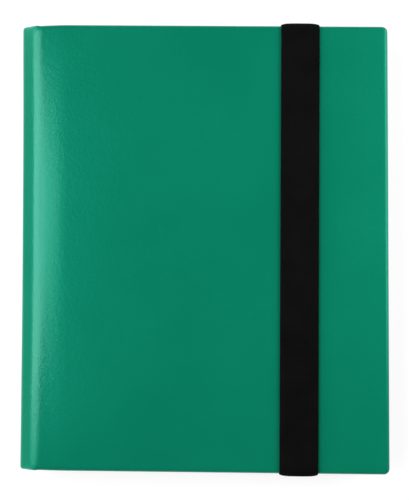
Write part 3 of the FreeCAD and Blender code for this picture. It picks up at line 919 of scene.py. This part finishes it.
frontBoard = coverBoard("frontBoard", "front_board", False)
backBoard = coverBoard("backBoard", "back_board", True)
print("boards:", len(frontBoard.data.polygons), "and", len(backBoard.data.polygons), "faces")


# geometry tree helpers
def startTree(name, sizes):
    tree = bpy.data.node_groups.new(name, "GeometryNodeTree")
    tree.interface.new_socket("Geometry", in_out="INPUT", socket_type="NodeSocketGeometry")
    for label, value in sizes.items():
        kind = {int: "NodeSocketInt", float: "NodeSocketFloat"}.get(type(value), "NodeSocketMaterial")
        tree.interface.new_socket(label, in_out="INPUT", socket_type=kind)
    tree.interface.new_socket("Geometry", in_out="OUTPUT", socket_type="NodeSocketGeometry")
    return tree, put(tree, "NodeGroupInput").outputs


def endTree(tree, geometry, material):
    whole = put(tree, "GeometryNodeRealizeInstances", {0: geometry})
    painted = put(tree, "GeometryNodeSetMaterial", {"Geometry": whole.outputs[0], "Material": material})
    put(tree, "NodeGroupOutput", {0: painted.outputs[0]})


def grown(host, tree, sizes):
    modifier = host.modifiers.new(tree.name, "NODES")
    modifier.node_group = tree
    for item in tree.interface.items_tree:
        if item.in_out == "INPUT" and item.name in sizes:
            modifier[item.identifier] = sizes[item.name]
    return frozen(host, meshCare["bandSharp"])


def stored(tree, geometry, label, value):
    inputs = {"Geometry": geometry, "Name": label, "Value": value}
    return out(tree, "GeometryNodeStoreNamedAttribute", inputs, domain="POINT")


def named(tree, label):
    return out(tree, "GeometryNodeInputNamedAttribute", {"Name": label}, data_type="FLOAT")


def swept(tree, curve, section):
    inputs = {"Curve": curve, "Profile Curve": section, "Fill Caps": True}
    return out(tree, "GeometryNodeCurveToMesh", inputs)


# the elastic strap: one ribbed band from its glued end at the foot, over the front, to the one
# at the head
strap = {
    "thick": 1.4 * mm,
    "frontX": strapMid + 0.63 * mm,
    "lean": 0.7 * mm,  # towards the fore-edge at the head
    "frontBend": 2.4 * mm,
    "backBend": 1.1 * mm,
    "slotBend": 0.8 * mm,
    "bendSteps": 8,
    "gluedZ": 3.6 * mm,
    "ribRise": 0.06 * mm,
    "pointsPerRib": 4,
    "edgePower": 8.0,  # the higher, the squarer its two edges
    "snug": 0.25 * mm,
    "drawnIn": 0.65 * mm,  # how far its two edges pull in where it turns over a cover
    "drawnLong": 9.6 * mm,
    "drawnPower": 4,
    "step": 2.5 * mm,
}


def strapRoute():
    half = strap["thick"] / 2
    slotY = slotFrom + recess["slotWide"] / 2
    outside = strapHigh.y - half - strap["snug"]
    low, high = tailLow.z + half, strapHigh.z - half
    headHalf = [
        (outside, high, strap["frontBend"]),
        (outside, low, strap["backBend"]),
        (slotY, low, strap["slotBend"]),
        (slotY, strap["gluedZ"], strap["slotBend"]),
        (tailLow.y, strap["gluedZ"], 0.0),
    ]
    footHalf = [(-y, z, bend) for y, z, bend in headHalf]
    return np.array([(strapMid, *point) for point in footHalf[::-1] + headHalf])


def strapTree(sizes):
    tree, given = startTree("ribbedBand", sizes)
    do = partial(calc, tree)
    curve = out(tree, "GeometryNodeMeshToCurve", {"Mesh": given["Geometry"]})
    corners = {"Curve": curve, "Count": given["Bend steps"], "Limit Radius": True}
    corners["Radius"] = named(tree, "bend")
    curve = out(tree, "GeometryNodeFilletCurve", corners, mode="POLY")
    here = out(tree, "GeometryNodeInputPosition")
    index = out(tree, "GeometryNodeInputIndex")
    nextPoint = {"Index": do("ADD", index, 1.0), "Value": here}
    following = out(tree, "GeometryNodeFieldAtIndex", nextPoint, data_type="FLOAT_VECTOR", domain="POINT")
    run = put(tree, "ShaderNodeVectorMath", {0: here, 1: following}, operation="DISTANCE")
    cuts = do("FLOOR", do("DIVIDE", run.outputs["Value"], given["Step"]))
    curve = out(tree, "GeometryNodeSubdivideCurve", {"Curve": curve, "Cuts": cuts})
    along = put(tree, "GeometryNodeSplineParameter").outputs["Length"]
    curve = stored(tree, curve, "along", along)
    # the section: its points go once round a flat band, ribbed on both faces
    halfCount = do("MULTIPLY", given["Ribs"], given["Points per rib"])
    circle = {"Resolution": do("MULTIPLY", halfCount, 2.0), "Radius": 1.0}
    ring = out(tree, "GeometryNodeCurvePrimitiveCircle", circle, mode="RADIUS")
    step = do("MODULO", index, halfCount)
    share = do("DIVIDE", do("ADD", step, 0.5), halfCount)
    onTop = do("LESS_THAN", index, do("SUBTRACT", halfCount, 0.5))
    sign = do("MULTIPLY_ADD", onTop, 2.0, -1.0)
    spread = do("MULTIPLY_ADD", share, 2.0, -1.0)
    edge = do("POWER", do("ABSOLUTE", spread), given["Edge power"])
    body = do("SQRT", do("SUBTRACT", 1.0, edge))
    body = do("MULTIPLY", body, do("DIVIDE", given["Thickness"], 2.0))
    turns = do("MULTIPLY", share, given["Ribs"])
    wave = do("COSINE", do("MULTIPLY", turns, 2 * math.pi))
    rib = do("MULTIPLY", do("ADD", wave, 1.0), given["Rib rise"])
    height = do("MULTIPLY", do("SUBTRACT", body, rib), sign)
    across = do("MULTIPLY", do("MULTIPLY", spread, sign), 0.5)
    sideways = do("MULTIPLY", across, do("MULTIPLY", given["Width"], -1.0))
    spot = out(tree, "ShaderNodeCombineXYZ", {0: sideways, 1: height})
    section = out(tree, "GeometryNodeSetPosition", {"Geometry": ring, "Position": spot})
    section = stored(tree, section, "across", across)
    endTree(tree, swept(tree, curve, section), given["Material"])
    return tree


def strapPiece():
    route = strapRoute()
    edges = [(k, k + 1) for k in range(len(route) - 1)]
    mesh = bpy.data.meshes.new("strapBand")
    mesh.from_pydata([tuple(p) for p in route[:, :3]], edges, [])
    mark(mesh, "bend", route[:, 3])
    sizes = {
        "Width": strapWide, "Thickness": strap["thick"], "Edge power": strap["edgePower"],
        "Ribs": elasticLook["ribs"], "Points per rib": strap["pointsPerRib"],
        "Rib rise": strap["ribRise"], "Bend steps": strap["bendSteps"], "Step": strap["step"],
        "Material": elastic,
    }
    return grown(linked("strapBand", mesh), strapTree(sizes), sizes)


def settleStrap(piece):
    # its front run lies a little askew, and its middle stands out most where it turns over the edges
    count = len(piece.data.vertices)
    place, across = np.zeros(count * 3, np.float32), np.zeros(count, np.float32)
    piece.data.vertices.foreach_get("co", place)
    piece.data.attributes["across"].data.foreach_get("value", across)
    x, y, z = place.reshape(-1, 3).T
    share = eased((z - tailLow.z) / (strapHigh.z - tailLow.z))
    x += share * (strap["frontX"] - strapMid + strap["lean"] * y / strapHigh.y)
    turning = eased((np.abs(y) - strapHigh.y) / strap["drawnLong"] + 1) * share
    drawn = turning * strap["drawnIn"] * (2 * across) ** strap["drawnPower"]
    y -= np.sign(y) * drawn + skew * x
    piece.data.vertices.foreach_set("co", np.stack([x, y, z], -1).ravel())
    return piece


strapBand = settleStrap(strapPiece())
print("strap:", len(strapBand.data.polygons), "faces")


# cloth strips of the binding: the guards that the leaves turn on, their glued halves and the
# spine lining
strips = {
    "alongStep": 3 * mm,
    "acrossSteps": 18,
    "wave": 0.05 * mm,
    "waveLength": 47 * mm,
    "liningInset": 0.6 * mm,
    "foldWide": 5 * mm,  # the width beside the spine that a guard bends over; the strips here are made flat
}


def stripPad(low, high, thinAxis):
    # one rippled strip, its length along y
    axes = [axis for axis in range(3) if axis != thinAxis]
    lines = []
    for axis in axes:
        acrossStep = (high[axis] - low[axis]) / strips["acrossSteps"]
        lines.append(evenly(low[axis], high[axis], strips["alongStep"] if axis == 1 else acrossStep))
    middle = (low[thinAxis] + high[thinAxis]) / 2
    half = (high[thinAxis] - low[thinAxis]) / 2 - strips["wave"]

    def ripple(*place):
        turns = place[axes.index(1)] / strips["waveLength"]
        return middle + strips["wave"] * np.sin(turns * 2 * math.pi)

    points, faces = closedGrid(*lines, lambda *p: ripple(*p) + half, lambda *p: ripple(*p) - half)
    placed = np.zeros_like(points)
    placed[:, [*axes, thinAxis]] = points
    return placed, faces


def clothStrip(name, boxes, thinAxis, material):
    allPoints, allFaces, count = [], [], 0
    for low, high in boxes:
        points, faces = stripPad(low, high, thinAxis)
        allPoints.append(points)
        allFaces += [tuple(c + count for c in face) for face in faces]
        count += len(points)
    return frozen(meshPiece(name, np.concatenate(allPoints), allFaces, material))


leafCount = sum(node.endswith("_guard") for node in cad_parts)
leaves = range(1, leafCount + 1)
guardBoxes = {k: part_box(f"leaf_{k}_guard") for k in leaves}
guards = {k: clothStrip(f"guardStrip{k}", [guardBoxes[k]], 2, cloths["linen"]) for k in leaves}
tabLow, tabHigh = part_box("guard_tabs")
tabBoxes = [
    ((tabLow.x, tabLow.y, low.z), (tabHigh.x, tabHigh.y, high.z)) for low, high in guardBoxes.values()
]
tabStrips = clothStrip("guardTabStrips", tabBoxes, 2, cloths["linen"])
liningLow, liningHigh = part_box("spine_lining")
liningLow.z += strips["liningInset"]
liningHigh.z -= strips["liningInset"]
liningStrip = clothStrip("liningStrip", [(liningLow, liningHigh)], 0, cloths["spineCloth"])
print("cloth strips:", len(guards) + 2)


# head and tail bands: a thread wound round a core
bands = {
    "thread": 0.26 * mm,
    "pitch": 0.56 * mm,
    "sides": 8,
    "steps": 14,
    "coreSides": 20,
    "shy": 0.75 * mm,
}


def bandTree(sizes):
    tree, given = startTree("woundBand", sizes)
    turns = calc(tree, "DIVIDE", given["Length"], given["Pitch"])
    radius = given["Coil radius"]
    coil = {
        "Resolution": given["Steps"], "Rotations": turns, "Start Radius": radius, "End Radius": radius,
        "Height": given["Length"],
    }
    spiral = out(tree, "GeometryNodeCurveSpiral", coil)
    circle = {"Resolution": given["Sides"], "Radius": given["Thread radius"]}
    section = out(tree, "GeometryNodeCurvePrimitiveCircle", circle, mode="RADIUS")
    rod = {"Vertices": given["Core sides"], "Radius": radius, "Depth": given["Length"]}
    core = out(tree, "GeometryNodeMeshCylinder", rod)
    lift = out(tree, "ShaderNodeCombineXYZ", {2: calc(tree, "DIVIDE", given["Length"], 2.0)})
    core = out(tree, "GeometryNodeTransform", {"Geometry": core, "Translation": lift})
    both = put(tree, "GeometryNodeJoinGeometry")
    tree.links.new(core, both.inputs[0])
    tree.links.new(swept(tree, spiral, section), both.inputs[0])
    endTree(tree, both.outputs[0], given["Material"])
    return tree


def bandPiece(name, node):
    low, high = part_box(node)
    thread, trim = bands["thread"], bands["thread"] + bands["shy"]
    sizes = {
        "Length": high.z - low.z - 2 * trim, "Pitch": bands["pitch"], "Steps": bands["steps"],
        "Coil radius": (high.x - low.x) / 2 - thread, "Thread radius": thread, "Sides": bands["sides"],
        "Core sides": bands["coreSides"], "Material": cloths["bandThread"],
    }
    piece = grown(linked(name, bpy.data.meshes.new(name)), bandTree(sizes), sizes)
    foot = ((low.x + high.x) / 2, (low.y + high.y) / 2, low.z + trim)
    piece.data.transform(Matrix.Translation(foot))
    return piece


headThread = bandPiece("headBandThread", "head_band")
tailThread = bandPiece("tailBandThread", "tail_band")
print("bands:", len(headThread.data.polygons), "faces each")


# the spine's card, cut short inside the drawn-in ends of the wraps
card = {"round": 0.3 * mm, "roundSteps": 2, "endGap": 0.1 * mm, "acrossSteps": 4, "alongStep": 6 * mm}


def spineCard(look):
    low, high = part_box("spine_board")
    lastY = halfY - wrap["headTuck"] - wrap["spineCorner"] - wrap["thick"] - look["endGap"]
    y = evenly(-lastY, lastY, look["alongStep"])
    z = evenly(low.z, high.z, (high.z - low.z) / look["acrossSteps"])
    points, faces = closedGrid(y, z, lambda p, q: 0 * p + high.x, lambda p, q: 0 * p + low.x)
    piece = meshPiece("spineCard", points[:, [2, 0, 1]], faces, papers["greyBoard"])
    edge = piece.modifiers.new("softEdges", "BEVEL")
    edge.width = look["round"]
    edge.segments = look["roundSteps"]
    return frozen(piece)


spineStrip = spineCard(card)
print("spine card:", len(spineStrip.data.polygons), "faces")


# finishes of the CAD pieces that show as they are
def refinish(material, *nodes):
    for node in nodes:
        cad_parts[node].data.materials[0] = material


refinish(papers["endpaper"], "front_endpaper", "back_endpaper")
refinish(papers["stubCard"], "binding_stubs")
refinish(papers["blackCard"], *[f"leaf_{k}_card" for k in leaves])
refinish(clearFilm, *[f"leaf_{k}_strips" for k in leaves])
refinish(glassine, *[f"leaf_{k}_interleaf" for k in leaves])

# what each piece moves with, stands for and is
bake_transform(frontWrap)
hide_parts("front_cover_skin", "front_fold", "spine_skin")
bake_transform(backWrap)
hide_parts("back_cover_skin", "back_fold")
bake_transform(strapBand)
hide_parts("elastic_strap", "strap_tail_head", "strap_tail_foot")
unbent = (
    (spineStrip, "spine", "spine_board", "grey_board"),
    (frontBoard, "front_cover", "front_board", "grey_board"),
    (backBoard, "back_cover", "back_board", "grey_board"),
    (frontFoam, "front_cover", "front_padding", "foam_padding"),
    (backFoam, "back_cover", "back_padding", "foam_padding"),
    (tabStrips, "spine", "guard_tabs", "linen"),
    (liningStrip, "spine", "spine_lining", "spine_cloth"),
    (headThread, "spine", "head_band", "band_cloth"),
    (tailThread, "spine", "tail_band", "band_cloth"),
)
for piece, body, node, slot in unbent:
    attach(piece, body)
    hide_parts(node)
for k, (low, high) in guardBoxes.items():
    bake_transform(guards[k])
    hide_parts(f"leaf_{k}_guard")
print("pieces placed")

# floor, light and camera
studio = {
    "floorSize": 40.0,
    "floorGap": 0.2 * mm,
    "floorColour": (0.25, 0.25, 0.25, 1.0),
    "floorGlow": 0.82,
    "floorMottle": 0.3,
    "floorTones": (0.97, 1.0),
    "zenith": 0.05,
    "horizon": 0.08,
}
lamps = {
    "key": {"place": (-1.023, 0.118, 1.194), "aim": (0, 0.118, 0), "size": (0.734, 1.186), "watts": 19.0},
    "headSide": {"place": (-0.9, 0.75, 0.2), "aim": (0, 0, 0), "size": (0.6, 0.36), "watts": 7.3},
    "footSide": {"place": (-0.9, -0.75, 0.2), "aim": (0, 0, 0), "size": (0.6, 0.36), "watts": 6.2},
    "fill": {"place": (0.392, 0.115, 0.27), "aim": (0, 0, 0), "size": (0.4, 0.4), "watts": 2.1},
}


def studioFloor(look):
    material, tree = cleared(bpy.data.materials.new("paleFloor"))
    place = put(tree, "ShaderNodeTexCoord").outputs["Object"]
    tone = ranged(tree, noise(tree, place, look["floorMottle"]), *look["floorTones"])
    matt = put(tree, "ShaderNodeBsdfDiffuse", {"Color": look["floorColour"]})
    path = put(tree, "ShaderNodeLightPath").outputs
    seen = calc(tree, "MAXIMUM", path["Is Camera Ray"], path["Is Glossy Ray"])
    seen = calc(tree, "MAXIMUM", seen, path["Is Transmission Ray"])
    strength = calc(tree, "MULTIPLY", seen, calc(tree, "MULTIPLY", tone, look["floorGlow"]))
    glow = put(tree, "ShaderNodeEmission", {"Strength": strength})
    both = put(tree, "ShaderNodeAddShader", {0: matt.outputs[0], 1: glow.outputs[0]})
    put(tree, "ShaderNodeOutputMaterial", {"Surface": both.outputs[0]})
    half, low = look["floorSize"] / 2, cadBox[0].z - look["floorGap"]
    corners = [(-half, -half, low), (half, -half, low), (half, half, low), (-half, half, low)]
    floor = meshPiece("studioFloor", corners, [(0, 1, 2, 3)], material)


def studioLamp(name, look):
    data = bpy.data.lights.new(name, "AREA")
    data.shape = "RECTANGLE"
    data.size, data.size_y = look["size"]
    data.energy = look["watts"]
    lamp = linked(name, data)
    lamp.location = look["place"]
    lamp.rotation_euler = (Vector(look["aim"]) - lamp.location).to_track_quat("-Z", "Y").to_euler()
    lamp.visible_camera = False


def studioWorld(look):
    world, tree = cleared(bpy.data.worlds.new("softRoom"))
    direction = put(tree, "ShaderNodeTexCoord").outputs["Generated"]
    up = put(tree, "ShaderNodeSeparateXYZ", {0: direction}).outputs["Z"]
    strength = remap(tree, calc(tree, "ABSOLUTE", up), 0.0, 1.0, look["horizon"], look["zenith"])
    sky = put(tree, "ShaderNodeBackground", {"Strength": strength})
    put(tree, "ShaderNodeOutputWorld", {"Surface": sky.outputs[0]})
    bpy.context.scene.world = world


studioFloor(studio)
for lampName, lampLook in lamps.items():
    studioLamp(lampName, lampLook)
studioWorld(studio)

photoView = {
    "place": (9.02 * mm, -18.95 * mm, 574.0 * mm),
    "turn": (1.842, 0.901, 0.032),  # degrees
    "focalPixels": 1082.0,
    "longSidePixels": 500,
}
eye = bpy.data.cameras.new("photoView")
eye.lens = photoView["focalPixels"] * eye.sensor_width / photoView["longSidePixels"]
camera = linked("photoView", eye)
camera.location = photoView["place"]
camera.rotation_euler = [math.radians(turn) for turn in photoView["turn"]]
bpy.context.scene.camera = camera
bpy.context.scene.view_settings.view_transform = "Standard"
print("studio ready")
